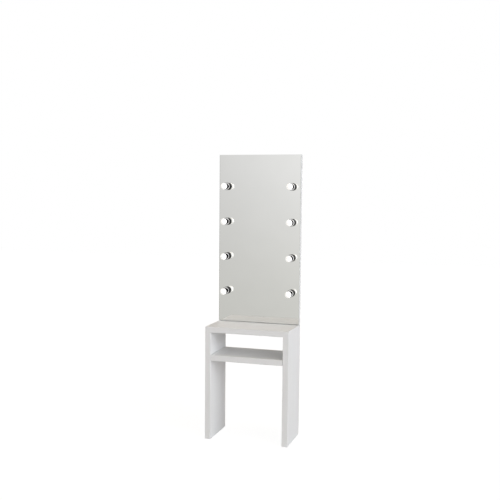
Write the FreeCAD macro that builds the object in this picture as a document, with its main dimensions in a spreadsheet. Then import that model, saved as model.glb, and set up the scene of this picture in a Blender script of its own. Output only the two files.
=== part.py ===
import FreeCAD, Part
import math
import os
import re

import Sketcher
from FreeCAD import Placement, Rotation, Vector

# A free-standing vanity table with a tall lamp mirror on its back edge.
# Millimetres, +Z up, the front faces -Y. The origin is on the floor, in the middle of the footprint.
# "Ahead" of the mirror means towards -Y from the front face of its glass.

DIMENSIONS = [
    # the table
    ("table_width", 600),
    ("table_depth", 320),
    ("table_height", 800),
    ("board", 40),
    ("shelf_top", 602),
    ("shelf_gap", 1.5),
    ("edge_round", 1),
    ("glide_height", 2),
    ("glide_radius", 11),
    ("glide_pin_radius", 1.25),
    ("glide_pin_length", 14),
    # beech dowels and cam fittings
    ("dowel_radius", 4),
    ("mitre_dowel_length", 30),
    ("joint_dowel_length", 40),
    ("mitre_dowel_pitch", 100),
    ("fit_gap", 0.1),
    ("end_gap", 1),
    ("shelf_dowel_offset", 128),
    ("shelf_cam_offset", 96),
    ("cam_radius", 7.5),
    ("cam_height", 23),
    ("cam_reach", 34),
    ("cam_bolt_radius", 3),
    ("cam_bolt_grip", 11),
    ("cap_radius", 8.5),
    ("cap_thickness", 1),
    ("cap_plug", 2),
    # the mirror box
    ("mirror_height", 1200),
    ("mirror_depth", 40),
    ("foot_gap", 3),
    ("glass", 5),
    ("arris", 2),
    ("tape", 1),
    ("tape_width", 20),
    ("tape_pitch", 120),
    ("backing", 6),
    ("stile_width", 30),
    ("rail_height", 60),
    ("middle_rail_height", 40),
    ("rail_dowel_spread", 14),
    ("middle_dowel_spread", 10),
    ("lip", 10),
    ("lip_depth", 9),
    ("cover", 3),
    ("cover_gap", 0.5),
    ("cover_screw_inset", 15),
    ("cover_screw_shank", 1.5),
    ("cover_screw_head", 3.2),
    ("cover_screw_length", 13),
    # steel plates that tie the mirror box to the table
    ("plate_width", 50),
    ("plate_thickness", 3),
    ("plate_below", 34),
    ("plate_above", 46),
    ("plate_offset", 200),
    ("plate_screw_pitch", 28),
    ("plate_screw_shank", 2),
    ("plate_screw_head", 4),
    ("plate_screw_length", 24),
    ("recess_width", 0.9),
    ("recess_depth", 1.2),
    ("locating_offset", 120),
    ("insert_offset", 180),
    ("insert_radius", 4.5),
    ("insert_bore", 2.5),
    ("insert_length", 14),
    # the lamps
    ("lamp_column", 240),
    ("lamp_pitch", 250),
    ("lamp_margin", 225),
    ("cup_radius", 26),
    ("cup_height", 24),
    ("cup_wall", 1.5),
    ("cup_round", 1),
    ("face_radius", 24),
    ("face_bore", 18),
    ("face_thickness", 1),
    ("tail_radius", 12),
    ("tail_start", 8),
    ("barrel_radius", 13.6),
    ("barrel_end", 46),
    ("socket_radius", 8.4),
    ("socket_floor", 21),
    ("lead_bore", 1.6),
    ("shell_wall", 0.8),
    ("shell_start", 27),
    ("shell_end", 44),
    ("contact_radius", 3),
    ("contact_height", 2.7),
    ("nipple_radius", 5),
    ("nipple_bore", 3.5),
    ("nipple_front", 16),
    ("nipple_back", 18),
    ("nut_radius", 8.1),
    ("nut_height", 4),
    ("cap_contact", 24),
    ("cap_shoulder", 28),
    ("cap_end", 46.4),
    ("thread_crest", 6.9),
    ("thread_root", 6.2),
    ("thread_pitch", 2.8),
    ("pellet_radius", 2.4),
    ("pellet_height", 1),
    ("globe_radius", 22.5),
    ("globe_centre", 80),
    ("globe_wall", 1.2),
    ("collar_end", 62),
    ("collar_radius", 14.4),
    # supply, switch and wiring inside the box
    ("service_height", 900),
    ("inlet_offset", 120),
    ("inlet_width", 24),
    ("inlet_height", 17),
    ("inlet_body_depth", 15),
    ("flange", 2),
    ("flange_rim", 4),
    ("socket_half", 4.3),
    ("socket_round", 4.7),
    ("socket_slot_half", 3.8),
    ("socket_depth", 13),
    ("pin_radius", 1.2),
    ("pin_length", 10),
    ("switch_offset", 165),
    ("switch_width", 14),
    ("switch_height", 22),
    ("rocker_width", 10.6),
    ("rocker_half", 8.2),
    ("rocker_rise", 1.3),
    ("rocker_body", 4.2),
    ("rocker_tilt", 9),
    ("rocker_well_depth", 8),
    ("rocker_well_width", 11.2),
    ("rocker_well_height", 18.8),
    ("trunnion_radius", 1),
    ("trunnion_length", 12.4),
    ("bearing_gap", 0.05),
    ("bearing_end_gap", 0.2),
    ("block_width", 40),
    ("block_height", 16),
    ("block_depth", 14),
    ("loom_height", 940),
    ("cable_radius", 3),
    ("cable_column", 222),
    ("trunk_overrun", 15),
    ("lead_radius", 1.5),
    ("clip_width", 16),
    ("clip_height", 10),
    ("clip_depth", 13),
]

LAMP_ROWS = 4
COVER_SCREW_ROWS = 5
CLIP_STEPS = (-1.125, -0.45, 0.45, 1.125)
TAPE_STEPS = (-1.5, -0.5, 0.5, 1.5)
MITRE_DOWEL_ROWS = (-1, 0, 1)
SIDES = (-1, 1)
SAFE_OVERLAP = 1
MITRE_SHARE = math.sqrt(0.5)
BEND_SHARE = 0.45
SAME_PLACE = 1e-3
VOLUME_TOLERANCE = 0.01

document = FreeCAD.newDocument("vanity_table")
sheet = document.addObject("Spreadsheet::Sheet", "dims")
finished = []


# ---------------------------------------------------------------- drawing helpers


def fill_sheet():
    """Write each driving dimension to the sheet as a number with an alias."""
    for row, (alias, size) in enumerate(DIMENSIONS, start=1):
        sheet.set(f"A{row}", alias)
        sheet.set(f"B{row}", str(size))
        sheet.setAlias(f"B{row}", alias)
    document.recompute()


def cells(expression):
    """Point each alias in an expression at its cell in the sheet."""
    return re.sub(r"\b[a-z][a-z0-9_]*\b", lambda word: "dims." + word.group(0), str(expression))


def size_of(expression):
    """The present value of an expression, in millimetres."""
    return float(sheet.evalExpression(cells(expression)))


def bind(thing, **properties):
    """Bind properties of an object to expressions over the sheet's aliases."""
    for name, expression in properties.items():
        thing.setExpression(name, cells(expression))


def place(thing, x="0", y="0", z="0", turn=None):
    """Put an object at a bound position, turned by a fixed rotation."""
    if turn is not None:
        thing.Placement = Placement(Vector(), turn)
    thing.setExpression("Placement.Base.x", cells(x))
    thing.setExpression("Placement.Base.y", cells(y))
    thing.setExpression("Placement.Base.z", cells(z))
    return thing


ALONG_X = Rotation(Vector(0, 1, 0), 90)
ALONG_Y = Rotation(Vector(1, 0, 0), -90)
AHEAD = Rotation(Vector(1, 0, 0), 90)
ALONG_Z = Rotation()


def box(name, low, high):
    """A block between two corners, each three expressions."""
    block = document.addObject("Part::Box", name)
    bind(
        block,
        Length=f"({high[0]}) - ({low[0]})",
        Width=f"({high[1]}) - ({low[1]})",
        Height=f"({high[2]}) - ({low[2]})",
    )
    return place(block, *low)


def rod(name, start, turn, radius, length):
    """A round bar that starts at a point and runs along a turned Z."""
    bar = document.addObject("Part::Cylinder", name)
    bind(bar, Radius=radius, Height=length)
    return place(bar, *start, turn=turn)


def cut(name, base, *tools):
    """The base with every tool taken away."""
    result = document.addObject("Part::Cut", name)
    result.Base = base
    result.Tool = tools[0] if len(tools) == 1 else group(name + "_tools", tools)
    return result


def fuse(name, *pieces):
    """One solid made of overlapping or touching pieces."""
    result = document.addObject("Part::MultiFuse", name)
    result.Shapes = list(pieces)
    result.Refine = True
    return result


def group(name, pieces):
    """Separate solids kept together."""
    result = document.addObject("Part::Compound", name)
    result.Links = list(pieces)
    return result


def finish(piece, label):
    """Name a finished sub-part and put it on the list to be written."""
    piece.Label = label
    finished.append(piece)
    return piece


def new_sketch(body, name, role):
    """A sketch on one of the body's own origin planes."""
    sketch = body.newObject("Sketcher::SketchObject", name)
    plane = next(item for item in body.Origin.OriginFeatures if item.Role == role)
    sketch.AttachmentSupport = (plane, [""])
    sketch.MapMode = "FlatFace"
    return sketch


def draw_outline(sketch, points):
    """Draw a closed outline whose corners are pairs of bound expressions."""
    corners = [Vector(size_of(across), size_of(up), 0) for across, up in points]
    count = len(corners)
    for index in range(count):
        sketch.addGeometry(Part.LineSegment(corners[index], corners[(index + 1) % count]))
    for index in range(count):
        sketch.addConstraint(Sketcher.Constraint("Coincident", index, 2, (index + 1) % count, 1))
    for index, (across, up) in enumerate(points):
        for kind, expression in (("DistanceX", across), ("DistanceY", up)):
            value = size_of(expression)
            number = sketch.addConstraint(Sketcher.Constraint(kind, -1, 1, index, 1, value))
            sketch.setExpression(f"Constraints[{number}]", cells(expression))


def prism(name, role, points, length):
    """A body with the same outline all along, centred on the sketch's plane."""
    body = document.addObject("PartDesign::Body", name)
    sketch = new_sketch(body, name + "_outline", role)
    draw_outline(sketch, points)
    pad = body.newObject("PartDesign::Pad", name + "_pad")
    pad.Profile = sketch
    pad.SideType = "Symmetric"
    bind(pad, Length=length)
    body.Tip = pad
    return body


def turned(name, points):
    """A body turned round its Z axis from an outline of (radius, height) corners."""
    body = document.addObject("PartDesign::Body", name)
    sketch = new_sketch(body, name + "_outline", "XZ_Plane")
    draw_outline(sketch, points)
    revolution = body.newObject("PartDesign::Revolution", name + "_turn")
    revolution.Profile = sketch
    revolution.ReferenceAxis = (sketch, ["V_Axis"])
    revolution.Angle = 360
    body.Tip = revolution
    return body


def round_edges(body, wanted, radius):
    """Round those straight or circular edges of a body that pass a test."""
    document.recompute()
    base = body.Tip
    names = [
        f"Edge{number}"
        for number, edge in enumerate(base.Shape.Edges, start=1)
        if wanted(edge)
    ]
    fillet = body.newObject("PartDesign::Fillet", body.Name + "_round")
    fillet.Base = (base, names)
    bind(fillet, Radius=radius)
    body.Tip = fillet
    return body


def screw_blank(name, head_at, kind, loose="0"):
    """A countersunk screw that runs ahead from the flat of its head, or the hole for it."""
    shank, head, length = (f"{kind}_screw_{part}" for part in ("shank", "head", "length"))
    cone = document.addObject("Part::Cone", name + "_head")
    bind(cone, Radius1=f"{head} + {loose}", Radius2=f"{shank} + {loose}", Height=f"{head} - {shank}")
    place(cone, *head_at, turn=AHEAD)
    body = rod(name + "_shank", head_at, AHEAD, f"{shank} + {loose}", f"{length} + {loose}")
    return fuse(name + "_blank", cone, body)


def screw(name, head_at, kind):
    """A countersunk screw with a cross recess in its head."""
    x, y, z = head_at
    reach = f"{kind}_screw_head / 2"
    slots = []
    for slot, (half_x, half_z) in enumerate((("recess_width / 2", reach), (reach, "recess_width / 2"))):
        low = (f"{x} - {half_x}", f"{y} - recess_depth", f"{z} - {half_z}")
        high = (f"{x} + {half_x}", f"{y} + {SAFE_OVERLAP}", f"{z} + {half_z}")
        slots.append(box(f"{name}_slot_{slot}", low, high))
    return cut(name, screw_blank(name, head_at, kind), *slots)


# ---------------------------------------------------------------- heights, depths and bores

glass_front = "(table_depth / 2 - mirror_depth)"
board_front = f"({glass_front} + glass + tape)"
board_back = f"({board_front} + backing)"
back_plane = "(table_depth / 2)"
ledge = f"({back_plane} - lip_depth)"
cover_back = f"({ledge} + cover)"
box_top = "(table_height + mirror_height)"
rail_inside = "(table_width / 2 - stile_width)"
lip_inside = "(table_width / 2 - stile_width + lip)"
middle_rail = "(table_height + mirror_height / 2)"
shelf_axis = "(shelf_top - board / 2)"
inner_side = "(table_width / 2 - board)"
frame_depth_middle = f"(({board_back} + {ledge}) / 2)"
dowel_bore = "(dowel_radius + fit_gap)"
mitre_bore_length = "(mitre_dowel_length + 2 * end_gap)"
joint_bore_length = "(joint_dowel_length + 2 * end_gap)"
rocker_axis_depth = f"({cover_back} + flange - rocker_body)"


def ahead(distance):
    """The Y of a place that lies a distance ahead of the glass."""
    return f"{glass_front} - ({distance})"


def lamp_places():
    """Name, X and Z of each lamp: the left column from the top, then the right."""
    places = []
    for column, side in enumerate(SIDES):
        for row in range(LAMP_ROWS):
            number = column * LAMP_ROWS + row + 1
            height = f"{box_top} - lamp_margin - {row} * lamp_pitch"
            places.append((number, f"{side} * lamp_column", height))
    return places


# ---------------------------------------------------------------- table joints


def mitre_dowels(name, radius, length):
    """Three dowels square to the mitre at each top corner."""
    dowels = []
    for side in SIDES:
        turn = Rotation(Vector(0, 1, 0), -45 * side)
        for row in MITRE_DOWEL_ROWS:
            half = f"({length}) / 2 * {MITRE_SHARE}"
            start = (
                f"{side} * (table_width / 2 - board / 2 + {half})",
                f"{row} * mitre_dowel_pitch",
                f"table_height - board / 2 - {half}",
            )
            dowels.append(rod(f"{name}_{len(dowels)}", start, turn, radius, length))
    return dowels


def shelf_dowels(name, radius, length):
    """Two dowels at each end of the shelf."""
    dowels = []
    for side in SIDES:
        for row in SIDES:
            start = (
                f"{side} * {inner_side} - ({length}) / 2",
                f"{row} * shelf_dowel_offset",
                shelf_axis,
            )
            dowels.append(rod(f"{name}_{len(dowels)}", start, ALONG_X, radius, length))
    return dowels


def cam_places():
    """Side, X and Y of each cam in the shelf."""
    return [
        (side, f"{side} * ({inner_side} - cam_reach)", f"{row} * shelf_cam_offset")
        for side in SIDES
        for row in SIDES
    ]


def cam_bolts(name, radius, length):
    """A bolt from each side panel into its cam."""
    bolts = []
    for side, x, y in cam_places():
        middle = f"{side} * ({inner_side} + cam_bolt_grip - ({length}) / 2) - ({length}) / 2"
        bolts.append(rod(f"{name}_{len(bolts)}", (middle, y, shelf_axis), ALONG_X, radius, length))
    return bolts


def cams(name, radius, height):
    """A cam housing above each hole in the shelf's underside."""
    top = f"{shelf_axis} + cam_bolt_radius * 2"
    return [
        rod(f"{name}_{index}", (x, y, f"{top} - ({height})"), ALONG_Z, radius, height)
        for index, (_, x, y) in enumerate(cam_places())
    ]


def glide_places():
    """X and Y of each floor glide."""
    return [
        (f"{side} * (table_width / 2 - board / 2)", f"{row} * (table_depth / 2 - board)")
        for side in SIDES
        for row in SIDES
    ]


def glide_pins(name, radius):
    """The pin of each floor glide, which is nailed up into the panel."""
    return [
        rod(f"{name}_{index}", (x, y, "glide_height / 2"), ALONG_Z, radius, "glide_pin_length")
        for index, (x, y) in enumerate(glide_places())
    ]


def on_panel_face(edge, axis):
    """True for an edge along one axis on the front or back face of a panel."""
    ends = [vertex.Point for vertex in edge.Vertexes]
    if len(ends) != 2:
        return False
    half_depth = size_of("table_depth / 2")
    run = ends[1] - ends[0]
    along = abs(abs(run.dot(axis)) - run.Length) < SAME_PLACE
    on_face = abs(abs(ends[0].y) - half_depth) < SAME_PLACE
    return along and on_face and run.Length > size_of("board") / 2


def side_panel(label, side):
    """A 40 mm side panel, mitred at the top, with its holes."""
    outer = f"{side} * table_width / 2"
    corner = f"{side} * (table_width / 2 - edge_round / 2)"
    inner = f"{side} * {inner_side}"
    outline = [
        (outer, "glide_height"),
        (inner, "glide_height"),
        (inner, "table_height - board"),
        (corner, "table_height - edge_round / 2"),
        (outer, "table_height - edge_round"),
    ]
    board = prism(label + "_board", "XZ_Plane", outline, "table_depth")
    round_edges(board, lambda edge: on_panel_face(edge, Vector(0, 0, 1)), "edge_round")
    holes = mitre_dowels(label + "_mitre_hole", dowel_bore, mitre_bore_length)
    holes += shelf_dowels(label + "_shelf_hole", dowel_bore, joint_bore_length)
    holes += cam_bolts(label + "_bolt_hole", "cam_bolt_radius + fit_gap", "cam_bolt_grip + cam_reach")
    holes += glide_pins(label + "_pin_hole", "glide_pin_radius + fit_gap")
    return finish(cut(label + "_cut", board, *holes), label)


def top_panel():
    """The mitred top, with pockets for the joining plates in its back edge."""
    half = "table_width / 2"
    outline = [
        (f"-{inner_side}", "table_height - board"),
        (inner_side, "table_height - board"),
        (f"{half} - edge_round / 2", "table_height - edge_round / 2"),
        (f"{half} - edge_round", "table_height"),
        (f"-({half} - edge_round)", "table_height"),
        (f"-({half} - edge_round / 2)", "table_height - edge_round / 2"),
    ]
    board = prism("top_board", "XZ_Plane", outline, "table_depth")
    round_edges(board, lambda edge: on_panel_face(edge, Vector(1, 0, 0)), "edge_round")
    holes = mitre_dowels("top_mitre_hole", dowel_bore, mitre_bore_length)
    holes += locating_dowels("top_locating_hole", dowel_bore, joint_bore_length)
    holes += plate_pockets("top_plate_pocket")
    holes += plate_screw_holes("top_screw_hole")
    return finish(cut("top_cut", board, *holes), "top_panel")


def shelf_panel():
    """The fixed shelf between the side panels, flush with their front edges."""
    end = f"({inner_side} - shelf_gap)"
    outline = [
        (f"-{end}", "shelf_top - board"),
        (end, "shelf_top - board"),
        (end, "shelf_top"),
        (f"-{end}", "shelf_top"),
    ]
    board = prism("shelf_board", "XZ_Plane", outline, "table_depth")
    round_edges(board, lambda edge: on_panel_face(edge, Vector(1, 0, 0)), "edge_round")
    holes = shelf_dowels("shelf_dowel_hole", dowel_bore, joint_bore_length)
    holes += cam_bolts("shelf_bolt_hole", "cam_bolt_radius + fit_gap", "cam_bolt_grip + cam_reach")
    depth = f"{shelf_axis} + cam_bolt_radius * 2 - shelf_top + board + {SAFE_OVERLAP}"
    holes += cams("shelf_cam_hole", "cam_radius + fit_gap", depth)
    return finish(cut("shelf_cut", board, *holes), "shelf_panel")


def table_fittings():
    """Dowels, cams, caps and glides."""
    dowels = mitre_dowels("mitre_dowel", "dowel_radius", "mitre_dowel_length")
    finish(group("mitre_dowel_group", dowels), "mitre_dowels")
    dowels = shelf_dowels("shelf_dowel", "dowel_radius", "joint_dowel_length")
    finish(group("shelf_dowel_group", dowels), "shelf_dowels")
    bolts = cam_bolts("cam_bolt", "cam_bolt_radius", "cam_bolt_grip + cam_reach - 2 * end_gap")
    finish(group("cam_bolt_group", bolts), "shelf_cam_bolts")
    housings = [
        cut(f"cam_{index}", cam, hole)
        for index, (cam, hole) in enumerate(
            zip(
                cams("cam_blank", "cam_radius", "cam_height"),
                cam_bolts("cam_hole", "cam_bolt_radius + fit_gap", "cam_bolt_grip + cam_reach"),
            )
        )
    ]
    finish(group("cam_group", housings), "shelf_cams")
    finish(group("cap_group", cover_caps()), "cam_cover_caps")
    finish(group("glide_group", floor_glides()), "floor_glides")


def cover_caps():
    """A thin cap with a short plug under each cam."""
    caps = []
    underside = "shelf_top - board"
    for index, (_, x, y) in enumerate(cam_places()):
        disc_start = (x, y, f"{underside} - cap_thickness")
        disc = rod(f"cap_disc_{index}", disc_start, ALONG_Z, "cap_radius", "cap_thickness")
        plug = rod(f"cap_plug_{index}", (x, y, underside), ALONG_Z, "cam_radius", "cap_plug")
        caps.append(fuse(f"cap_{index}", disc, plug))
    return caps


def floor_glides():
    """A round glide under each end of each side panel, with its pin."""
    glides = []
    pins = glide_pins("glide_pin", "glide_pin_radius")
    for index, (x, y) in enumerate(glide_places()):
        disc = rod(f"glide_disc_{index}", (x, y, "0"), ALONG_Z, "glide_radius", "glide_height")
        glides.append(fuse(f"glide_{index}", disc, pins[index]))
    return glides


# ---------------------------------------------------------------- joints of the mirror box


def locating_dowels(name, radius, length):
    """Two upright dowels between the tabletop and the bottom rail."""
    return [
        rod(
            f"{name}_{index}",
            (f"{side} * locating_offset", frame_depth_middle, f"table_height - ({length}) / 2"),
            ALONG_Z,
            radius,
            length,
        )
        for index, side in enumerate(SIDES)
    ]


def frame_dowels(name, radius, length):
    """Two dowels at each end of each rail."""
    heights = []
    for middle, spread in (
        ("table_height + rail_height / 2", "rail_dowel_spread"),
        (middle_rail, "middle_dowel_spread"),
        (f"{box_top} - rail_height / 2", "rail_dowel_spread"),
    ):
        heights += [f"{middle} - {spread}", f"{middle} + {spread}"]
    dowels = []
    for side in SIDES:
        for height in heights:
            start = (f"{side} * {rail_inside} - ({length}) / 2", frame_depth_middle, height)
            dowels.append(rod(f"{name}_{len(dowels)}", start, ALONG_X, radius, length))
    return dowels


def plate_blocks(name, thickness):
    """The two joining plates, or the room that they need."""
    return [
        box(
            f"{name}_{index}",
            (
                f"{side} * plate_offset - plate_width / 2",
                f"{back_plane} - plate_thickness",
                "table_height - plate_below",
            ),
            (
                f"{side} * plate_offset + plate_width / 2",
                f"{back_plane} - plate_thickness + ({thickness})",
                "table_height + plate_above",
            ),
        )
        for index, side in enumerate(SIDES)
    ]


def plate_pockets(name):
    """Recesses that leave the joining plates flush with the back."""
    return plate_blocks(name, f"plate_thickness + {SAFE_OVERLAP}")


def plate_screw_places():
    """Four places on each plate: two over the tabletop and two over the rail."""
    return [
        (f"{side} * plate_offset + {column} * plate_screw_pitch / 2", back_plane, height)
        for side in SIDES
        for column in SIDES
        for height in ("table_height - plate_below / 2", "table_height + plate_above / 2")
    ]


def plate_screw_holes(name):
    """Countersunk holes for the screws of the joining plates."""
    return [
        screw_blank(f"{name}_{index}", head_at, "plate", "fit_gap")
        for index, head_at in enumerate(plate_screw_places())
    ]


def cover_screw_places():
    """The head of each screw round the rear cover and along the middle rail."""
    places = []
    side_x = f"({lip_inside} - lip / 2)"
    low = "(table_height + rail_height + cover_screw_inset)"
    high = f"({box_top} - rail_height - cover_screw_inset)"
    for side in SIDES:
        for row in range(COVER_SCREW_ROWS):
            share = row / (COVER_SCREW_ROWS - 1)
            height = f"{low} + {share} * ({high} - {low})"
            places.append((f"{side} * {side_x}", cover_back, height))
    low = "table_height + rail_height - lip / 2"
    high = f"{box_top} - rail_height + lip / 2"
    for height in (low, middle_rail, high):
        for side in SIDES:
            places.append((f"{side} * locating_offset", cover_back, height))
    return places


def cover_screw_holes(name):
    """Countersunk holes for the screws of the rear cover."""
    return [
        screw_blank(f"{name}_{index}", head_at, "cover", "fit_gap")
        for index, head_at in enumerate(cover_screw_places())
    ]


def wall_inserts(name, radius, length):
    """Round blanks for the two threaded inserts in the back of the top rail."""
    return [
        rod(
            f"{name}_{index}",
            (f"{side} * insert_offset", back_plane, f"{box_top} - rail_height / 2 + lip / 2"),
            AHEAD,
            radius,
            length,
        )
        for index, side in enumerate(SIDES)
    ]


# ---------------------------------------------------------------- mirror box


def nipple_holes(name, radius, first, length):
    """One round hole behind each lamp."""
    return [
        rod(f"{name}_{number}", (x, ahead(first), z), ALONG_Y, radius, length)
        for number, x, z in lamp_places()
    ]


def mirror_glass():
    """Silvered glass with a ground arris round its front and a hole for each lamp."""
    low_edge = "table_height + foot_gap"
    slab = box(
        "glass_slab",
        ("-table_width / 2", f"{glass_front} + arris", low_edge),
        ("table_width / 2", f"{glass_front} + glass", box_top),
    )
    front = document.addObject("Part::Wedge", "glass_arris")
    bind(
        front,
        Xmin="-table_width / 2 + arris",
        Xmax="table_width / 2 - arris",
        Zmin="arris",
        Zmax="mirror_height - foot_gap - arris",
        Ymin="0",
        Ymax="arris",
        X2min="-table_width / 2",
        X2max="table_width / 2",
        Z2min="0",
        Z2max="mirror_height - foot_gap",
    )
    place(front, "0", glass_front, low_edge)
    pane = fuse("glass_pane", front, slab)
    holes = nipple_holes("glass_hole", "nipple_radius + end_gap", "end_gap", "glass + 2 * end_gap")
    return finish(cut("glass_cut", pane, *holes), "mirror_glass")


def bonding_tapes():
    """Four upright strips of foam tape between the glass and the backing board."""
    tapes = [
        box(
            f"tape_{index}",
            (
                f"{position} * tape_pitch - tape_width / 2",
                f"{glass_front} + glass",
                "table_height + board",
            ),
            (f"{position} * tape_pitch + tape_width / 2", board_front, f"{box_top} - board"),
        )
        for index, position in enumerate(TAPE_STEPS)
    ]
    return finish(group("tape_group", tapes), "bonding_tapes")


def backing_board():
    """The board that carries the glass and the lamps."""
    board = box(
        "backing_blank",
        ("-table_width / 2", board_front, "table_height + foot_gap"),
        ("table_width / 2", board_back, box_top),
    )
    holes = nipple_holes("backing_hole", "nipple_radius + fit_gap", "-glass", "tape + backing + end_gap")
    return finish(cut("backing_cut", board, *holes), "backing_board")


def frame_stile(label, side):
    """An upright of the box, rebated at the back for the rear cover."""
    outer = f"{side} * table_width / 2"
    outline = [
        (outer, board_back),
        (f"{side} * {rail_inside}", board_back),
        (f"{side} * {rail_inside}", ledge),
        (f"{side} * {lip_inside}", ledge),
        (f"{side} * {lip_inside}", back_plane),
        (outer, back_plane),
    ]
    stile = prism(label + "_blank", "XY_Plane", outline, "mirror_height")
    place(stile, "0", "0", middle_rail)
    holes = frame_dowels(label + "_hole", dowel_bore, joint_bore_length)
    holes += cover_screw_holes(label + "_screw_hole")
    return finish(cut(label + "_cut", stile, *holes), label)


def end_rail_blank(name, low, high, lip_low, lip_high):
    """A rail with a lip that closes the box behind the rear cover's edge."""
    body = box(f"{name}_body", (f"-{rail_inside}", board_back, low), (rail_inside, ledge, high))
    lip = box(f"{name}_lip", (f"-{lip_inside}", ledge, lip_low), (lip_inside, back_plane, lip_high))
    return fuse(f"{name}_blank", body, lip)


def frame_rails():
    """Bottom, middle and top rails."""
    drilling = (dowel_bore, joint_bore_length)
    low = "table_height"
    lip_high = f"{low} + rail_height - lip"
    blank = end_rail_blank("bottom_rail", low, f"{low} + rail_height", low, lip_high)
    holes = frame_dowels("bottom_rail_hole", *drilling)
    holes += locating_dowels("bottom_rail_locating_hole", *drilling)
    holes += plate_pockets("bottom_rail_pocket")
    holes += plate_screw_holes("bottom_rail_plate_screw")
    holes += cover_screw_holes("bottom_rail_cover_screw")
    finish(cut("bottom_rail_cut", blank, *holes), "frame_rail_bottom")

    half = "middle_rail_height / 2"
    low_corner = (f"-{rail_inside}", board_back, f"{middle_rail} - {half}")
    high_corner = (rail_inside, ledge, f"{middle_rail} + {half}")
    blank = box("middle_rail_blank", low_corner, high_corner)
    holes = frame_dowels("middle_rail_hole", *drilling)
    holes += cover_screw_holes("middle_rail_cover_screw")
    for side in SIDES:
        start = (f"{side} * cable_column", frame_depth_middle, f"{middle_rail} - middle_rail_height")
        length = "middle_rail_height * 2"
        holes.append(rod(f"cable_pass_{side + 1}", start, ALONG_Z, "cable_radius * 2", length))
    finish(cut("middle_rail_cut", blank, *holes), "frame_rail_middle")

    low = f"{box_top} - rail_height"
    blank = end_rail_blank("top_rail", low, box_top, f"{low} + lip", box_top)
    holes = frame_dowels("top_rail_hole", *drilling)
    holes += cover_screw_holes("top_rail_cover_screw")
    holes += wall_inserts("top_rail_insert_hole", "insert_radius", "insert_length")
    finish(cut("top_rail_cut", blank, *holes), "frame_rail_top")


def rear_cover():
    """The hardboard sheet that closes the box, with cut-outs for inlet and switch."""
    side = f"({lip_inside} - cover_gap)"
    sheet_blank = box(
        "cover_blank",
        (f"-{side}", ledge, "table_height + rail_height - lip + cover_gap"),
        (side, cover_back, f"{box_top} - rail_height + lip - cover_gap"),
    )
    holes = cover_screw_holes("cover_screw_hole")
    holes.append(service_cutout("inlet_cutout", "inlet"))
    holes.append(service_cutout("switch_cutout", "switch"))
    return finish(cut("cover_cut", sheet_blank, *holes), "rear_cover")


def service_cutout(name, item):
    """The opening in the rear cover for the power inlet or the switch."""
    return box(
        name,
        (
            f"{item}_offset - {item}_width / 2 - fit_gap",
            f"{ledge} - {SAFE_OVERLAP}",
            f"service_height - {item}_height / 2 - fit_gap",
        ),
        (
            f"{item}_offset + {item}_width / 2 + fit_gap",
            f"{cover_back} + {SAFE_OVERLAP}",
            f"service_height + {item}_height / 2 + fit_gap",
        ),
    )


def box_fittings():
    """Dowels, screws, joining plates and wall inserts."""
    dowels = frame_dowels("frame_dowel", "dowel_radius", "joint_dowel_length")
    dowels += locating_dowels("locating_dowel", "dowel_radius", "joint_dowel_length")
    finish(group("mirror_dowel_group", dowels), "mirror_dowels")
    for kind, places, label in (
        ("cover", cover_screw_places(), "rear_cover_screws"),
        ("plate", plate_screw_places(), "joining_plate_screws"),
    ):
        screws = [screw(f"{label}_{index}", head_at, kind) for index, head_at in enumerate(places)]
        finish(group(f"{label}_group", screws), label)
    plates = [
        cut(f"plate_{index}", plate, *plate_screw_holes(f"plate_hole_{index}"))
        for index, plate in enumerate(plate_blocks("plate_blank", "plate_thickness"))
    ]
    finish(group("plate_group", plates), "joining_plates")
    blanks = wall_inserts("insert_blank", "insert_radius - fit_gap", "insert_length - end_gap")
    bores = wall_inserts("insert_bore", "insert_bore", "insert_length")
    inserts = [cut(f"insert_{index}", blank, bores[index]) for index, blank in enumerate(blanks)]
    finish(group("insert_group", inserts), "wall_inserts")


# ---------------------------------------------------------------- lamps


def lamp_cup(number, x, z):
    """A black cup, open towards the glass, with a rounded front and a hole for the lampholder."""
    inner = "cup_radius - cup_wall"
    hole = "tail_radius + fit_gap"
    outline = [
        (inner, "0"),
        ("cup_radius", "0"),
        ("cup_radius", "cup_height"),
        (hole, "cup_height"),
        (hole, "cup_height - cup_wall"),
        (inner, "cup_height - cup_wall"),
    ]
    cup = turned(f"cup_{number}", outline)

    def front_rim(edge):
        bounds = edge.BoundBox
        wide = bounds.XLength > 2 * size_of("cup_radius") - SAME_PLACE
        in_front = abs(bounds.ZMax - size_of("cup_height")) < SAME_PLACE
        return wide and in_front and bounds.ZLength < SAME_PLACE

    round_edges(cup, front_rim, "cup_round")
    return place(cup, x, glass_front, z, turn=AHEAD)


def cup_face(number, x, z):
    """The bright ring bonded to the front of a cup, with both of its front edges bevelled."""
    bevel = "face_thickness / 2"
    outline = [
        ("face_bore", "cup_height"),
        ("face_radius", "cup_height"),
        ("face_radius", f"cup_height + {bevel}"),
        (f"face_radius - {bevel}", "cup_height + face_thickness"),
        (f"face_bore + {bevel}", "cup_height + face_thickness"),
        ("face_bore", f"cup_height + {bevel}"),
    ]
    return place(turned(f"face_{number}", outline), x, glass_front, z, turn=AHEAD)


def lampholder(number, x, z):
    """An E14 holder: a barrel whose shoulder clamps the cup and a tail tapped for the nipple."""
    outline = [
        ("nipple_radius + fit_gap", "tail_start"),
        ("tail_radius", "tail_start"),
        ("tail_radius", "cup_height"),
        ("barrel_radius", "cup_height"),
        ("barrel_radius", "barrel_end"),
        ("socket_radius", "barrel_end"),
        ("socket_radius", "socket_floor"),
        ("lead_bore", "socket_floor"),
        ("lead_bore", "nipple_front + end_gap"),
        ("nipple_radius + fit_gap", "nipple_front + end_gap"),
    ]
    return place(turned(f"holder_{number}", outline), x, glass_front, z, turn=AHEAD)


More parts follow.
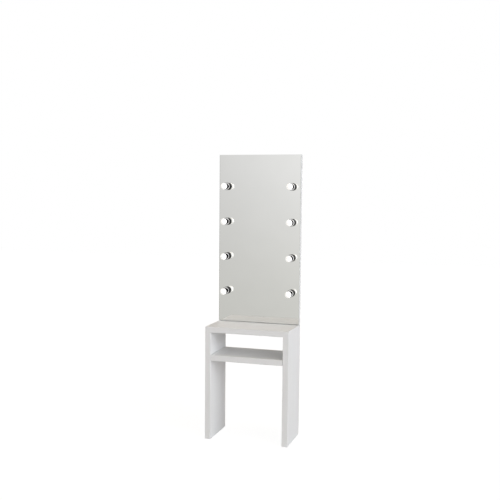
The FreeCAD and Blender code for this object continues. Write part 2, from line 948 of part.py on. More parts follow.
def holder_shell(number, x, z):
    """The brass screw shell inside a holder."""
    outer = "socket_radius - fit_gap"
    outline = [
        (f"{outer} - shell_wall", "shell_start"),
        (outer, "shell_start"),
        (outer, "shell_end"),
        (f"{outer} - shell_wall", "shell_end"),
    ]
    return place(turned(f"shell_{number}", outline), x, glass_front, z, turn=AHEAD)


def holder_contact(number, x, z):
    """The brass centre contact on the floor of a holder."""
    start = (x, ahead("socket_floor"), z)
    return rod(f"contact_{number}", start, AHEAD, "contact_radius", "contact_height")


def threaded_nipple(number, x, z):
    """The hollow stud that holds the lampholder and lets its lead through."""
    start = (x, ahead("-nipple_back"), z)
    length = "nipple_back + nipple_front"
    tube = rod(f"nipple_tube_{number}", start, AHEAD, "nipple_radius", length)
    bore = rod(f"nipple_bore_{number}", start, AHEAD, "nipple_bore", length)
    return cut(f"nipple_{number}", tube, bore)


def nipple_nut(number, x, z):
    """A hexagon nut behind the backing board."""
    nut = document.addObject("Part::Prism", f"nut_blank_{number}")
    nut.Polygon = 6
    bind(nut, Circumradius="nut_radius", Height="nut_height")
    place(nut, x, board_back, z, turn=ALONG_Y)
    start = (x, board_back, z)
    bore = rod(f"nut_bore_{number}", start, ALONG_Y, "nipple_radius + fit_gap", "nut_height")
    return cut(f"nut_{number}", nut, bore)


def lamp_cap(number, x, z):
    """The lamp's screw cap: contact pellet, glass shoulder and a threaded shell."""
    outline = [
        ("0", "cap_contact"),
        ("pellet_radius", "cap_contact"),
        ("pellet_radius", "cap_contact + pellet_height"),
        ("thread_root", "cap_shoulder"),
    ]
    turns = int(size_of("(cap_end - cap_shoulder) / thread_pitch")) - 1
    for turn in range(turns):
        crest = f"cap_shoulder + {turn} * thread_pitch + thread_pitch / 2"
        root = f"cap_shoulder + {turn + 1} * thread_pitch"
        outline += [("thread_crest", crest), ("thread_root", root)]
    outline += [("thread_root", "cap_end"), ("0", "cap_end")]
    cap = place(turned(f"cap_{number}_metal", outline), x, glass_front, z, turn=AHEAD)
    return finish(cap, f"lamp_cap_{number}")


def lamp_globe(number, x, z):
    """A hollow golf-ball envelope with a collar that narrows to the cap."""
    centre = (x, ahead("globe_centre"), z)
    neck = (x, ahead("cap_end"), z)
    shells = []
    for layer, wall in (("outer", "0"), ("inner", "globe_wall")):
        ball = document.addObject("Part::Sphere", f"ball_{layer}_{number}")
        bind(ball, Radius=f"globe_radius - {wall}")
        place(ball, *centre, turn=AHEAD)
        collar = document.addObject("Part::Cone", f"collar_{layer}_{number}")
        bind(
            collar,
            Radius1=f"thread_crest - {wall}",
            Radius2=f"collar_radius - {wall}",
            Height="collar_end - cap_end",
        )
        place(collar, *neck, turn=AHEAD)
        shells.append(fuse(f"envelope_{layer}_{number}", ball, collar))
    return finish(cut(f"envelope_{number}", *shells), f"lamp_globe_{number}")


def lamps():
    """Every lamp with its cup and what holds it."""
    fixed_pieces = (
        (lamp_cup, "lamp_cups"),
        (cup_face, "lamp_cup_faces"),
        (lampholder, "lampholders"),
        (holder_shell, "lampholder_shells"),
        (holder_contact, "lampholder_contacts"),
        (threaded_nipple, "threaded_nipples"),
        (nipple_nut, "nipple_nuts"),
    )
    for make_piece, label in fixed_pieces:
        pieces = [make_piece(*lamp_place) for lamp_place in lamp_places()]
        finish(group(label + "_group", pieces), label)
    for lamp_place in lamp_places():
        lamp_cap(*lamp_place)
        lamp_globe(*lamp_place)


# ---------------------------------------------------------------- supply and switch


def flanged_body(item, depth):
    """A housing through the rear cover with a rim on its outside."""
    left = f"{item}_offset - {item}_width / 2"
    right = f"{item}_offset + {item}_width / 2"
    low = f"service_height - {item}_height / 2"
    high = f"service_height + {item}_height / 2"
    body = box(f"{item}_housing", (left, f"{cover_back} - ({depth})", low), (right, cover_back, high))
    rim = box(
        f"{item}_rim",
        (f"{left} - flange_rim", cover_back, f"{low} - flange_rim"),
        (f"{right} + flange_rim", f"{cover_back} + flange", f"{high} + flange_rim"),
    )
    return fuse(f"{item}_blank", body, rim)


def power_inlet():
    """A two-pin appliance inlet with its figure-of-eight socket."""
    face = f"({cover_back} + flange)"
    floor = f"({face} - socket_depth)"
    middle = "socket_half"
    rounds = [
        rod(
            f"socket_round_{index}",
            (f"inlet_offset + {side} * {middle}", floor, "service_height"),
            ALONG_Y,
            "socket_round",
            f"socket_depth + {SAFE_OVERLAP}",
        )
        for index, side in enumerate(SIDES)
    ]
    slot = box(
        "socket_slot",
        (f"inlet_offset - {middle}", floor, "service_height - socket_slot_half"),
        (f"inlet_offset + {middle}", f"{face} + {SAFE_OVERLAP}", "service_height + socket_slot_half"),
    )
    housing = flanged_body("inlet", "inlet_body_depth")
    finish(cut("inlet_cut", housing, slot, *rounds), "power_inlet")
    pins = [
        rod(
            f"inlet_pin_{index}",
            (f"inlet_offset + {side} * {middle}", floor, "service_height"),
            ALONG_Y,
            "pin_radius",
            "pin_length",
        )
        for index, side in enumerate(SIDES)
    ]
    finish(group("inlet_pin_group", pins), "inlet_pins")


def rocker_trunnion(name, radius, length):
    """The pivot across the switch, or the holes that it turns in."""
    start = (f"switch_offset - ({length}) / 2", rocker_axis_depth, "service_height")
    return rod(name, start, ALONG_X, radius, length)


def switch_frame():
    """The housing of the rocker switch."""
    face = f"({cover_back} + flange)"
    well = box(
        "rocker_well",
        (
            "switch_offset - rocker_well_width / 2",
            f"{face} - rocker_well_depth",
            "service_height - rocker_well_height / 2",
        ),
        (
            "switch_offset + rocker_well_width / 2",
            f"{face} + {SAFE_OVERLAP}",
            "service_height + rocker_well_height / 2",
        ),
    )
    radius = "trunnion_radius + bearing_gap"
    bearing = rocker_trunnion("rocker_bearing", radius, "trunnion_length + 2 * bearing_end_gap")
    housing = flanged_body("switch", "inlet_body_depth")
    return finish(cut("switch_cut", housing, well, bearing), "switch_frame")


def rocker_button():
    """A dished rocker on two trunnions, stored with its upper end pressed in."""
    outline = [
        ("-rocker_body / 4", "-rocker_half"),
        ("rocker_body + rocker_rise", "-rocker_half"),
        ("rocker_body", "0"),
        ("rocker_body + rocker_rise", "rocker_half"),
        ("-rocker_body / 4", "rocker_half"),
    ]
    rocker = prism("rocker_blank", "YZ_Plane", outline, "rocker_width")
    pivot = document.addObject("Part::Cylinder", "rocker_pivot")
    bind(pivot, Radius="trunnion_radius", Height="trunnion_length")
    place(pivot, "-trunnion_length / 2", "0", "0", turn=ALONG_X)
    button = fuse("rocker_solid", rocker, pivot)
    tilt = Rotation(Vector(1, 0, 0), size_of("rocker_tilt"))
    place(button, "switch_offset", rocker_axis_depth, "service_height", turn=tilt)
    return finish(button, "rocker_button")


# ---------------------------------------------------------------- wiring


def cable_tube(name, points, radius):
    """A round cable along straight runs joined by tangent arcs."""
    corners = [Vector(*(size_of(coordinate) for coordinate in point)) for point in points]
    edges = []
    start = corners[0]
    for before, corner, after in zip(corners, corners[1:], corners[2:]):
        inward = before - corner
        outward = after - corner
        half_turn = (math.pi - inward.getAngle(outward)) / 2
        setback = BEND_SHARE * min(inward.Length, outward.Length)
        arc_radius = setback / math.tan(half_turn)
        entry = corner + inward.normalize() * setback
        leave = corner + outward.normalize() * setback
        bisector = ((entry + leave) * 0.5 - corner).normalize()
        middle = corner + bisector * (math.hypot(arc_radius, setback) - arc_radius)
        edges.append(Part.LineSegment(start, entry).toShape())
        edges.append(Part.Arc(entry, middle, leave).toShape())
        start = leave
    edges.append(Part.LineSegment(start, corners[-1]).toShape())
    path = Part.Wire(edges)
    thickness = size_of(radius)
    profile = Part.Wire([Part.Circle(corners[0], corners[1] - corners[0], thickness).toShape()])
    cable = document.addObject("Part::Feature", name)
    cable.Shape = path.makePipeShell([profile], True, True)
    expected = math.pi * thickness**2 * path.Length
    if abs(cable.Shape.Volume - expected) > VOLUME_TOLERANCE * expected:
        raise RuntimeError(f"{name} has volume {cable.Shape.Volume}, expected {expected}")
    return cable


def wiring_loom():
    """Feed, link, two trunks up the box and a lead into each lampholder."""
    depth = frame_depth_middle
    block_edge = "(block_width / 2)"
    top = f"{box_top} - lamp_margin + trunk_overrun"
    link_depth = f"{cover_back} - inlet_body_depth / 2"
    pieces = []
    for side in SIDES:
        route = [
            (f"{side} * {block_edge}", depth, "loom_height"),
            (f"{side} * cable_column", depth, "loom_height"),
            (f"{side} * cable_column", depth, top),
        ]
        pieces.append(cable_tube(f"trunk_{side + 1}", route, "cable_radius"))
    feed = [
        ("inlet_offset - inlet_width / 2", link_depth, "service_height"),
        ("block_width / 4", link_depth, "service_height"),
        ("block_width / 4", link_depth, "loom_height - block_height / 2"),
    ]
    pieces.append(cable_tube("feed", feed, "lead_radius"))
    link_start = ("inlet_offset + inlet_width / 2", link_depth, "service_height")
    link_length = "switch_offset - switch_width / 2 - inlet_offset - inlet_width / 2"
    pieces.append(rod("link", link_start, ALONG_X, "lead_radius", link_length))
    for number, x, z in lamp_places():
        side = -1 if number <= LAMP_ROWS else 1
        tap = f"{side} * (cable_column + cable_radius + fit_gap * 2)"
        route = [(x, ahead("nipple_front"), z), (x, depth, z), (tap, depth, z)]
        pieces.append(cable_tube(f"lead_{number}", route, "lead_radius"))
    return finish(group("loom_group", pieces), "wiring_loom")


def terminal_block():
    """The block where the feed meets both trunks."""
    half = "block_width / 2"
    block = box(
        "terminal_blank",
        (f"-{half}", board_back, "loom_height - block_height / 2"),
        (half, f"{board_back} + block_depth", "loom_height + block_height / 2"),
    )
    return finish(block, "terminal_block")


def cable_clips():
    """Saddles that hold the trunks to the backing board."""
    clips = []
    for side in SIDES:
        for step in CLIP_STEPS:
            x = f"{side} * cable_column"
            z = f"{middle_rail} + {step} * lamp_pitch"
            name = f"clip_{len(clips)}"
            block = box(
                name + "_block",
                (f"{x} - clip_width / 2", board_back, f"{z} - clip_height / 2"),
                (f"{x} + clip_width / 2", f"{board_back} + clip_depth", f"{z} + clip_height / 2"),
            )
            start = (x, frame_depth_middle, f"{z} - clip_height")
            hole = rod(name + "_hole", start, ALONG_Z, "cable_radius + fit_gap", "clip_height * 2")
            clips.append(cut(name, block, hole))
    return finish(group("clip_group", clips), "cable_clips")


# ---------------------------------------------------------------- build, check, write


def build():
    """Make every sub-part."""
    fill_sheet()
    side_panel("side_panel_left", -1)
    side_panel("side_panel_right", 1)
    top_panel()
    shelf_panel()
    table_fittings()
    mirror_glass()
    bonding_tapes()
    backing_board()
    frame_stile("frame_stile_left", -1)
    frame_stile("frame_stile_right", 1)
    frame_rails()
    rear_cover()
    box_fittings()
    lamps()
    power_inlet()
    switch_frame()
    rocker_button()
    terminal_block()
    wiring_loom()
    cable_clips()
    document.recompute()


def check():
    """Stop if any object failed or any sub-part has no valid solid."""
    for thing in document.Objects:
        if {"Invalid", "Error"} & set(thing.State):
            raise RuntimeError(f"{thing.Name} failed: {thing.State}")
    for piece in finished:
        shape = piece.Shape
        if shape.isNull() or not shape.isValid() or not shape.Solids:
            raise RuntimeError(f"{piece.Label} is not a valid solid")
        if min(solid.Volume for solid in shape.Solids) <= 0:
            raise RuntimeError(f"{piece.Label} has an empty solid")


def write():
    """Write one STEP file for each sub-part."""
    os.makedirs("parts", exist_ok=True)
    for piece in finished:
        piece.Shape.exportStep(os.path.join("parts", piece.Label + ".step"))
    print(f"{len(finished)} sub-parts written")


build()
check()
write()
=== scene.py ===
import math

import bmesh
import bpy
from mathutils import Matrix, Vector


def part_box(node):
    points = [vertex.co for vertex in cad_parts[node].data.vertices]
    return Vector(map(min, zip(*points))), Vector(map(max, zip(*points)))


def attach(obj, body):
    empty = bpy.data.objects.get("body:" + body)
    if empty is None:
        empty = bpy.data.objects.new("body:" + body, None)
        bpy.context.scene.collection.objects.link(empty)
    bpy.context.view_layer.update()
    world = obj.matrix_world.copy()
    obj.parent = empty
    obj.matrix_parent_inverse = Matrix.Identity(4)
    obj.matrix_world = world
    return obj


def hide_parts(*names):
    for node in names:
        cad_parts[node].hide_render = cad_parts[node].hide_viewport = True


# The look of the vanity table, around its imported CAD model. Metres, +Z up, the front faces -Y.

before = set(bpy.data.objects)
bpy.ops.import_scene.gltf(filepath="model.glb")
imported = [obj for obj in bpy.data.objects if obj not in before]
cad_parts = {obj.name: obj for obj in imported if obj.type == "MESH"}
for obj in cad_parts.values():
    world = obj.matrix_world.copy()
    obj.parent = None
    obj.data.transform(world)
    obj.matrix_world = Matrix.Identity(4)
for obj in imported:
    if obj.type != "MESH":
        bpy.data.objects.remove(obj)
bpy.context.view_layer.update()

MILLIMETRE = 0.001
LAMP_NUMBERS = range(1, 9)

# a lamp envelope: steps round it, the angle from its tip where the sphere ends, steps along
# the sphere and along the sweep into the neck, and the neck's own radius
TURNING_STEPS = 96
SPHERE_END = math.radians(128)
SPHERE_STEPS = 48
SWEEP_STEPS = 18
NECK_RADIUS = 7.4 * MILLIMETRE
ON_AXIS = 1e-7

FLOOR_HALF_WIDTH = 14.0


# ---------------------------------------------------------------- camera

CAMERA_PLACE = Vector((1.6186, -5.2288, 1.7419))
CAMERA_YAW = -0.3051
CAMERA_PITCH = -0.0873
CAMERA_ROLL = 0.0092
CAMERA_LENS = 56.572
CAMERA_SHIFT = 0.02


def make_camera():
    """A camera at the photograph's place, given by its yaw, pitch and roll."""
    forward = Vector((
        math.sin(CAMERA_YAW) * math.cos(CAMERA_PITCH),
        math.cos(CAMERA_YAW) * math.cos(CAMERA_PITCH),
        math.sin(CAMERA_PITCH),
    ))
    level_right = Vector((math.cos(CAMERA_YAW), -math.sin(CAMERA_YAW), 0))
    level_up = level_right.cross(forward)
    right = level_right * math.cos(CAMERA_ROLL) + level_up * math.sin(CAMERA_ROLL)
    up = level_up * math.cos(CAMERA_ROLL) - level_right * math.sin(CAMERA_ROLL)
    data = bpy.data.cameras.new("camera")
    data.lens = CAMERA_LENS
    data.shift_y = CAMERA_SHIFT
    camera = bpy.data.objects.new("camera", data)
    bpy.context.scene.collection.objects.link(camera)
    rotation = Matrix((right, up, -forward)).transposed()
    camera.matrix_world = Matrix.Translation(CAMERA_PLACE) @ rotation.to_4x4()
    bpy.context.scene.camera = camera


# ---------------------------------------------------------------- node helpers


class Nodes:
    """Short calls for building one node tree."""

    def __init__(self, tree):
        self.tree = tree
        self.tree.nodes.clear()

    def add(self, kind, **settings):
        node = self.tree.nodes.new(kind)
        for name, value in settings.items():
            setattr(node, name, value)
        return node

    def feed(self, node, **values):
        """Set or link inputs of a node, named with _ for a space."""
        for name, value in values.items():
            socket = node.inputs[name.replace("_", " ")]
            if isinstance(value, bpy.types.NodeSocket):
                self.tree.links.new(value, socket)
            else:
                socket.default_value = value
        return node

    def math(self, operation, first, second=0.0, clamp=False):
        node = self.add("ShaderNodeMath", operation=operation, use_clamp=clamp)
        for socket, value in zip(node.inputs, (first, second)):
            if isinstance(value, bpy.types.NodeSocket):
                self.tree.links.new(value, socket)
            else:
                socket.default_value = value
        return node.outputs[0]

    def dot(self, vector, direction):
        node = self.add("ShaderNodeVectorMath", operation="DOT_PRODUCT")
        self.tree.links.new(vector, node.inputs[0])
        node.inputs[1].default_value = Vector(direction).normalized()
        return node.outputs["Value"]

    def ramp(self, value, low, high, start=0.0, end=1.0):
        """A smooth step from start to end as value goes from low to high."""
        node = self.add("ShaderNodeMapRange", interpolation_type="SMOOTHSTEP")
        self.feed(node, Value=value, From_Min=low, From_Max=high, To_Min=start, To_Max=end)
        return node.outputs["Result"]

    def mix_colour(self, share, first, second):
        node = self.add("ShaderNodeMix", data_type="RGBA")
        for index, value in ((0, share), (6, first), (7, second)):
            socket = node.inputs[index]
            if isinstance(value, bpy.types.NodeSocket):
                self.tree.links.new(value, socket)
            else:
                socket.default_value = value
        return node.outputs[2]

    def mix_shader(self, share, first, second):
        node = self.add("ShaderNodeMixShader")
        for socket, value in zip(node.inputs, (share, first, second)):
            self.tree.links.new(value, socket)
        return node.outputs[0]

    def add_shader(self, first, second):
        node = self.add("ShaderNodeAddShader")
        self.tree.links.new(first, node.inputs[0])
        self.tree.links.new(second, node.inputs[1])
        return node.outputs[0]

    def noise(self, vector, scale, detail=2.0, roughness=0.5):
        node = self.add("ShaderNodeTexNoise")
        self.feed(node, Vector=vector, Scale=scale, Detail=detail, Roughness=roughness)
        return node.outputs["Fac"]

    def stretched(self, vector, scale):
        node = self.add("ShaderNodeMapping")
        self.feed(node, Vector=vector, Scale=scale)
        return node.outputs["Vector"]


def shade(red, green=None, blue=None):
    """An opaque colour, grey if only one number is given."""
    return (red, red if green is None else green, red if blue is None else blue, 1)


# ---------------------------------------------------------------- light, floor and background


BROAD = 0.2
NARROW = 0.8

# heading, spread, strength and colour of each soft light that falls on painted surfaces
SOFT_LIGHTS = (
    ((0.80, -0.60, 0.10), NARROW, 3.80, shade(0.99, 1.0, 1.08)),
    ((0.90, -0.25, 0.40), NARROW, 2.20, shade(0.96, 1.0, 1.03)),
    ((0.00, -0.70, 0.70), BROAD, 0.21, shade(1.0, 1.0, 0.90)),
    ((0.00, 0.00, 1.00), NARROW, 0.62, shade(1.0, 0.50, 0.0)),
    ((-1.00, 0.00, 0.30), BROAD, 0.80, shade(1.0)),
    ((0.00, 1.00, 0.10), BROAD, 0.60, shade(1.0)),
)


# the pale card in the room that polished surfaces see, and the grey of the room round it
CARD_HEIGHT = 0.20
CARD_STRENGTH = 1.09
ROOM_STRENGTH = 0.66


def soft_sky(nodes, direction):
    """A soft light for each entry of the list, added together."""
    total = None
    for heading, spread, strength, colour in SOFT_LIGHTS:
        glow = nodes.add("ShaderNodeBackground")
        near = nodes.ramp(nodes.dot(direction, heading), spread, 1.0, 0.0, strength)
        nodes.feed(glow, Color=colour, Strength=near)
        total = glow.outputs[0] if total is None else nodes.add_shader(total, glow.outputs[0])
    return total


def polished_view(nodes, x, y, z):
    """What polished surfaces see: a grey room with a pale card ahead, above eye height."""
    across = nodes.math("POWER", x, 2.0)
    up = nodes.math("POWER", nodes.math("SUBTRACT", z, CARD_HEIGHT), 2.0)
    from_card = nodes.math("POWER", nodes.math("ADD", across, up), 0.5)
    card_and_room = nodes.ramp(from_card, 0.14, 0.50, CARD_STRENGTH, ROOM_STRENGTH)
    ceiling_glow = nodes.ramp(z, 0.35, 0.80, 0.0, 0.25)
    floor_loss = nodes.ramp(z, -0.60, -0.20, 0.12, 0.0)
    far_left_share = nodes.ramp(x, -0.93, -0.86, 0.05, 1.0)
    behind_share = nodes.ramp(y, 0.0, 0.4, 1.0, 0.35)
    strength = nodes.math("ADD", card_and_room, ceiling_glow)
    strength = nodes.math("SUBTRACT", strength, floor_loss)
    strength = nodes.math("MULTIPLY", strength, far_left_share)
    strength = nodes.math("MULTIPLY", strength, behind_share)
    warm_below, cool_above = shade(1.0, 1.0, 0.97), shade(1.0, 1.0, 1.01)
    tint = nodes.mix_colour(nodes.ramp(z, -0.20, 0.05), warm_below, cool_above)
    view = nodes.add("ShaderNodeBackground")
    nodes.feed(view, Color=tint, Strength=strength)
    return view.outputs[0]


def make_world():
    """White behind the object, soft light for paint, and a grey room for polished surfaces."""
    world = bpy.data.worlds.new("studio")
    world.use_nodes = True
    bpy.context.scene.world = world
    nodes = Nodes(world.node_tree)
    axes = nodes.add("ShaderNodeSeparateXYZ")
    direction = nodes.add("ShaderNodeTexCoord").outputs["Generated"]
    nodes.feed(axes, Vector=direction)
    x, y, z = axes.outputs["X"], axes.outputs["Y"], axes.outputs["Z"]
    white = nodes.add("ShaderNodeBackground")
    nodes.feed(white, Color=shade(1.0), Strength=1.0)
    path = nodes.add("ShaderNodeLightPath")
    polished = polished_view(nodes, x, y, z)
    lit = nodes.mix_shader(path.outputs["Is Glossy Ray"], soft_sky(nodes, direction), polished)
    everything = nodes.mix_shader(path.outputs["Is Camera Ray"], lit, white.outputs[0])
    output = nodes.add("ShaderNodeOutputWorld")
    nodes.tree.links.new(everything, output.inputs["Surface"])


def floor_plane(name, height, base, glow):
    """A wide level plane of one pale, faintly glowing paint."""
    half = FLOOR_HALF_WIDTH
    outline = ((-half, -half), (half, -half), (half, half), (-half, half))
    corners = [(x, y, height) for x, y in outline]
    mesh = bpy.data.meshes.new(name)
    mesh.from_pydata(corners, [], [(0, 1, 2, 3)])
    plane = bpy.data.objects.new(name, mesh)
    bpy.context.scene.collection.objects.link(plane)
    plane.visible_glossy = False
    material = bpy.data.materials.new(name)
    material.use_nodes = True
    nodes = Nodes(material.node_tree)
    paint = nodes.add("ShaderNodeBsdfPrincipled")
    nodes.feed(
        paint,
        Base_Color=shade(base),
        Roughness=0.9,
        Specular_IOR_Level=0.0,
        Emission_Color=shade(1.0),
        Emission_Strength=glow,
    )
    output = nodes.add("ShaderNodeOutputMaterial")
    nodes.tree.links.new(paint.outputs[0], output.inputs["Surface"])
    mesh.materials.append(material)
    return plane


def make_floor():
    """A pale floor that the camera sees, and below it the one that returns light to the object."""
    seen = floor_plane("floor_seen", 0.0, 0.14, 0.92)
    seen.visible_diffuse = False
    seen.visible_shadow = False
    bounce = floor_plane("floor_bounce", -0.5 * MILLIMETRE, 0.60, 0.0)
    bounce.visible_camera = False


# ---------------------------------------------------------------- materials


def new_material(name):
    """A material with an empty tree, its shader and the object's own coordinates."""
    material = bpy.data.materials.new(name)
    material.use_nodes = True
    nodes = Nodes(material.node_tree)
    shader = nodes.add("ShaderNodeBsdfPrincipled")
    output = nodes.add("ShaderNodeOutputMaterial")
    nodes.tree.links.new(shader.outputs[0], output.inputs["Surface"])
    place = nodes.add("ShaderNodeTexCoord").outputs["Object"]
    return material, nodes, shader, place


def add_bump(nodes, shader, height, distance, strength=1.0):
    """Let a height texture shape the surface's shading."""
    bump = nodes.add("ShaderNodeBump")
    nodes.feed(bump, Height=height, Distance=distance, Strength=strength)
    nodes.feed(shader, Normal=bump.outputs["Normal"])


def varied(nodes, place, scale, first, second, detail=3.0):
    """A colour that drifts between two shades."""
    drift = nodes.ramp(nodes.noise(place, scale, detail), 0.3, 0.7)
    return nodes.mix_colour(drift, first, second)


def white_lacquer():
    """Satin paint with a faint orange peel and a slight drift of tone."""
    material, nodes, shader, place = new_material("white_lacquer")
    colour = varied(nodes, place, 2.2, shade(0.80, 0.80, 0.793), shade(0.815, 0.815, 0.808))
    gloss = nodes.ramp(nodes.noise(place, 9.0, 4.0), 0.3, 0.7, 0.34, 0.42)
    nodes.feed(shader, Base_Color=colour, Roughness=gloss)
    peel = nodes.noise(place, 420.0, 2.0, 0.4)
    add_bump(nodes, shader, peel, 0.00003)
    return material


def white_hardboard():
    """White-faced hardboard with a faint pressed texture."""
    material, nodes, shader, place = new_material("white_hardboard")
    colour = varied(nodes, place, 3.0, shade(0.70, 0.70, 0.685), shade(0.74, 0.74, 0.73))
    gloss = nodes.ramp(nodes.noise(place, 14.0, 4.0), 0.3, 0.7, 0.5, 0.62)
    nodes.feed(shader, Base_Color=colour, Roughness=gloss)
    add_bump(nodes, shader, nodes.noise(place, 900.0, 3.0, 0.6), 0.00005)
    return material


def raw_board():
    """Fibreboard with fine fibres and darker flecks."""
    material, nodes, shader, place = new_material("raw_board")
    fibres = nodes.noise(place, 260.0, 6.0, 0.7)
    flecks = nodes.ramp(fibres, 0.35, 0.7)
    colour = nodes.mix_colour(flecks, shade(0.36, 0.25, 0.15), shade(0.56, 0.43, 0.29))
    nodes.feed(shader, Base_Color=colour, Roughness=0.82)
    add_bump(nodes, shader, fibres, 0.0001)
    return material


def beech():
    """Turned beech with short dark flecks along the grain."""
    material, nodes, shader, place = new_material("beech")
    grain = nodes.noise(nodes.stretched(place, (90.0, 700.0, 700.0)), 1.0, 5.0, 0.6)
    colour = nodes.mix_colour(nodes.ramp(grain, 0.3, 0.7), shade(0.50, 0.33, 0.18), shade(0.72, 0.54, 0.34))
    nodes.feed(shader, Base_Color=colour, Roughness=0.6)
    add_bump(nodes, shader, grain, 0.00008)
    return material


def plated_metal(name, dark, light, rough_low, rough_high, scratch):
    """Metal with fine scratches and a drift of tone."""
    material, nodes, shader, place = new_material(name)
    scratches = nodes.noise(nodes.stretched(place, (40.0, 40.0, 900.0)), 1.0, 4.0, 0.6)
    colour = nodes.mix_colour(nodes.ramp(nodes.noise(place, 60.0, 3.0), 0.3, 0.7), dark, light)
    gloss = nodes.ramp(scratches, 0.3, 0.7, rough_low, rough_high)
    nodes.feed(shader, Base_Color=colour, Roughness=gloss, Metallic=1.0)
    add_bump(nodes, shader, scratches, scratch)
    return material


def moulded_plastic(name, dark, light, rough_low, rough_high, grain, shine):
    """Moulded plastic with a fine spark-eroded grain."""
    material, nodes, shader, place = new_material(name)
    texture = nodes.noise(place, 1500.0, 3.0, 0.6)
    colour = varied(nodes, place, 40.0, dark, light)
    gloss = nodes.ramp(nodes.noise(place, 120.0, 3.0), 0.3, 0.7, rough_low, rough_high)
    nodes.feed(shader, Base_Color=colour, Roughness=gloss, Specular_IOR_Level=shine)
    add_bump(nodes, shader, texture, grain)
    return material


def foam_tape():
    """Black foam with open cells at its cut edges."""
    material, nodes, shader, place = new_material("foam_tape")
    cells = nodes.add("ShaderNodeTexVoronoi")
    nodes.feed(cells, Vector=place, Scale=2200.0)
    nodes.feed(shader, Base_Color=varied(nodes, place, 90.0, shade(0.02), shade(0.045)), Roughness=0.9)
    add_bump(nodes, shader, cells.outputs["Distance"], 0.0002)
    return material


def silvered_glass():
    """A mirror face, with green-tinted polished glass where the pane's edges show."""
    material, nodes, shader, place = new_material("mirror")
    facing = nodes.add("ShaderNodeNewGeometry").outputs["Normal"]
    edge = nodes.ramp(nodes.math("ABSOLUTE", nodes.dot(facing, (0, 1, 0))), 0.2, 0.5, 1.0, 0.0)
    film = nodes.ramp(nodes.noise(place, 6.0, 5.0), 0.35, 0.65)
    silver = nodes.mix_colour(film, shade(0.835, 0.835, 0.81), shade(0.845, 0.845, 0.82))
    colour = nodes.mix_colour(edge, silver, shade(0.66, 0.76, 0.72))
    metallic = nodes.math("SUBTRACT", 1.0, edge)
    gloss = nodes.math("MULTIPLY", edge, 0.12)
    nodes.feed(shader, Base_Color=colour, Metallic=metallic, Roughness=gloss)
    return material


def polished_chrome():
    """Bright chrome with the faintest polishing haze."""
    material, nodes, shader, place = new_material("polished_chrome")
    haze = nodes.noise(place, 220.0, 4.0)
    gloss = nodes.ramp(haze, 0.3, 0.7, 0.025, 0.06)
    colour = varied(nodes, place, 60.0, shade(0.80, 0.80, 0.81), shade(0.85, 0.85, 0.86))
    nodes.feed(shader, Base_Color=colour, Metallic=1.0, Roughness=gloss)
    return material


def opal_globe():
    """A lit opal envelope: white light from inside and a glossy skin."""
    material, nodes, shader, place = new_material("opal_globe")
    cloud = nodes.noise(place, 55.0, 3.0)
    glow = nodes.mix_colour(nodes.ramp(cloud, 0.3, 0.7), shade(1.0, 0.985, 0.955), shade(1.0, 0.995, 0.975))
    nodes.feed(
        shader,
        Base_Color=varied(nodes, place, 40.0, shade(0.93, 0.93, 0.92), shade(0.96, 0.96, 0.95)),
        Roughness=nodes.ramp(cloud, 0.3, 0.7, 0.10, 0.16),
        Emission_Color=glow,
        Emission_Strength=0.40,
    )
    return material


def black_enamel():
    """Black enamel with a dull gloss and a faint orange peel."""
    material, nodes, shader, place = new_material("black_enamel")
    gloss = nodes.ramp(nodes.noise(place, 90.0, 3.0), 0.3, 0.7, 0.30, 0.40)
    colour = varied(nodes, place, 60.0, shade(0.004), shade(0.008))
    nodes.feed(shader, Base_Color=colour, Roughness=gloss, Specular_IOR_Level=0.05)
    add_bump(nodes, shader, nodes.noise(place, 1100.0, 2.0, 0.4), 0.00001)
    return material


# slot, dark shade, light shade, lowest and highest roughness, depth of the scratches in metres
PLATED_METALS = (
    ("zinc_steel", shade(0.50, 0.51, 0.52), shade(0.66, 0.67, 0.69), 0.26, 0.42, 0.00002),
    ("zinc_cast", shade(0.42, 0.43, 0.44), shade(0.56, 0.57, 0.58), 0.42, 0.60, 0.00004),
    ("brass", shade(0.66, 0.47, 0.20), shade(0.80, 0.60, 0.30), 0.20, 0.36, 0.00002),
    ("nickel_cap", shade(0.60, 0.57, 0.52), shade(0.72, 0.69, 0.64), 0.20, 0.34, 0.00002),
)

# slot, dark shade, light shade, lowest and highest roughness, depth of the grain in metres, shine
MOULDED_PLASTICS = (
    ("white_plastic", shade(0.78, 0.78, 0.77), shade(0.82, 0.82, 0.81), 0.42, 0.52, 0.00003, 0.5),
    ("black_phenolic", shade(0.006), shade(0.010), 0.30, 0.40, 0.00001, 0.08),
    ("black_plastic", shade(0.018), shade(0.028), 0.40, 0.52, 0.00004, 0.5),
    ("rocker_black", shade(0.012), shade(0.020), 0.12, 0.22, 0.00001, 0.5),
    ("cable_white", shade(0.72, 0.72, 0.70), shade(0.78, 0.78, 0.76), 0.50, 0.62, 0.00003, 0.5),
)


def make_materials():
    """One procedural material for each slot of the record."""
    made = {
        "white_lacquer": white_lacquer(),
        "raw_board": raw_board(),
        "white_hardboard": white_hardboard(),
        "beech": beech(),
        "mirror": silvered_glass(),
        "foam_tape": foam_tape(),
        "black_enamel": black_enamel(),
        "polished_chrome": polished_chrome(),
        "opal_globe": opal_globe(),
    }
    for metal in PLATED_METALS:
        made[metal[0]] = plated_metal(*metal)
    for plastic in MOULDED_PLASTICS:
        made[plastic[0]] = moulded_plastic(*plastic)
    return made


def dress_nodes(materials):
    """Give each CAD node the material of its slot."""
    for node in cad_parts.values():
        slot_name = node.data.materials[0].name
        node.data.materials[0] = materials[slot_name]


# ---------------------------------------------------------------- turned pieces


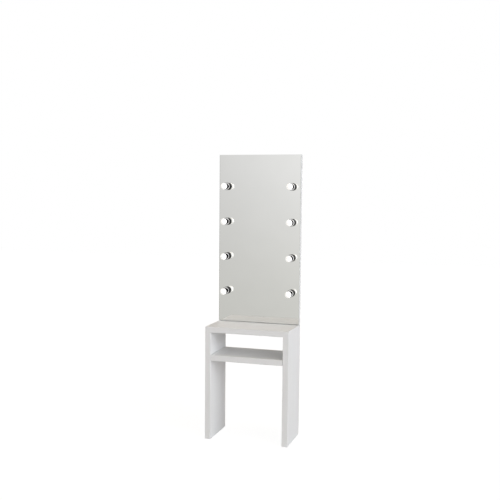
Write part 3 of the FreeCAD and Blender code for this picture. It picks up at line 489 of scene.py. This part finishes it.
def turned_piece(name, profile, centre, material, body, node, sharp):
    """A piece turned round the lamp's axis from (radius, distance ahead of the glass) points."""
    build = bmesh.new()
    rings = []
    for radius, distance in profile:
        if radius < ON_AXIS:
            rings.append([build.verts.new((centre.x, centre.y - distance, centre.z))])
            continue
        ring = []
        for step in range(TURNING_STEPS):
            angle = 2 * math.pi * step / TURNING_STEPS
            ring.append(build.verts.new((
                centre.x + radius * math.cos(angle),
                centre.y - distance,
                centre.z + radius * math.sin(angle),
            )))
        rings.append(ring)
    closed = rings if len(rings[0]) == 1 else rings + [rings[0]]
    for first, second in zip(closed, closed[1:]):
        for step in range(TURNING_STEPS):
            after = (step + 1) % TURNING_STEPS
            corners = [first[step % len(first)], first[after % len(first)]]
            corners += [second[after % len(second)], second[step % len(second)]]
            unique = list(dict.fromkeys(corners))
            if len(unique) > 2:
                build.faces.new(unique)
    bmesh.ops.recalc_face_normals(build, faces=build.faces)
    mesh = bpy.data.meshes.new(name)
    build.to_mesh(mesh)
    build.free()
    mesh.shade_smooth()
    mesh.set_sharp_from_angle(angle=math.radians(sharp))
    mesh.materials.append(material)
    piece = bpy.data.objects.new(name, mesh)
    bpy.context.scene.collection.objects.link(piece)
    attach(piece, body)
    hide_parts(node)
    return piece


def curve_points(start, first_pull, second_pull, end, count):
    """Points along a Bezier curve, both ends included."""
    points = []
    for index in range(count + 1):
        share = index / count
        rest = 1 - share
        weights = (rest ** 3, 3 * rest ** 2 * share, 3 * rest * share ** 2, share ** 3)
        corners = (start, first_pull, second_pull, end)
        points.append(tuple(
            sum(weight * corner[axis] for weight, corner in zip(weights, corners))
            for axis in (0, 1)
        ))
    return points


def globe_profile(radius, middle, neck_radius, neck):
    """A golf-ball envelope whose sphere runs into its neck in one smooth sweep."""
    points = []
    for index in range(SPHERE_STEPS + 1):
        angle = SPHERE_END * index / SPHERE_STEPS
        points.append((radius * math.sin(angle), middle + radius * math.cos(angle)))
    points[0] = (0.0, middle + radius)
    last = Vector(points[-1])
    heading = Vector((math.cos(SPHERE_END), -math.sin(SPHERE_END)))
    pull = (last.y - neck) * 0.5
    sweep = curve_points(
        tuple(last),
        tuple(last + heading * pull),
        (neck_radius, neck + pull),
        (neck_radius, neck),
        SWEEP_STEPS,
    )
    return points + sweep[1:] + [(0.0, neck)]


def make_globes(materials):
    """A smooth lamp envelope in place of each CAD globe."""
    for number in LAMP_NUMBERS:
        node = f"lamp_globe_{number}"
        low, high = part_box(node)
        radius = (high.x - low.x) / 2
        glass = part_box("mirror_glass")[0].y
        centre = Vector(((low.x + high.x) / 2, glass, (low.z + high.z) / 2))
        middle = glass - low.y - radius
        profile = globe_profile(radius, middle, NECK_RADIUS, glass - high.y)
        turned_piece(
            f"globe_{number}", profile, centre, materials["opal_globe"],
            f"lamp_{number}", node, sharp=60,
        )


# ---------------------------------------------------------------- the scene


bpy.context.scene.view_settings.view_transform = "Standard"
make_camera()
make_world()
make_floor()
finishes = make_materials()
dress_nodes(finishes)
make_globes(finishes)
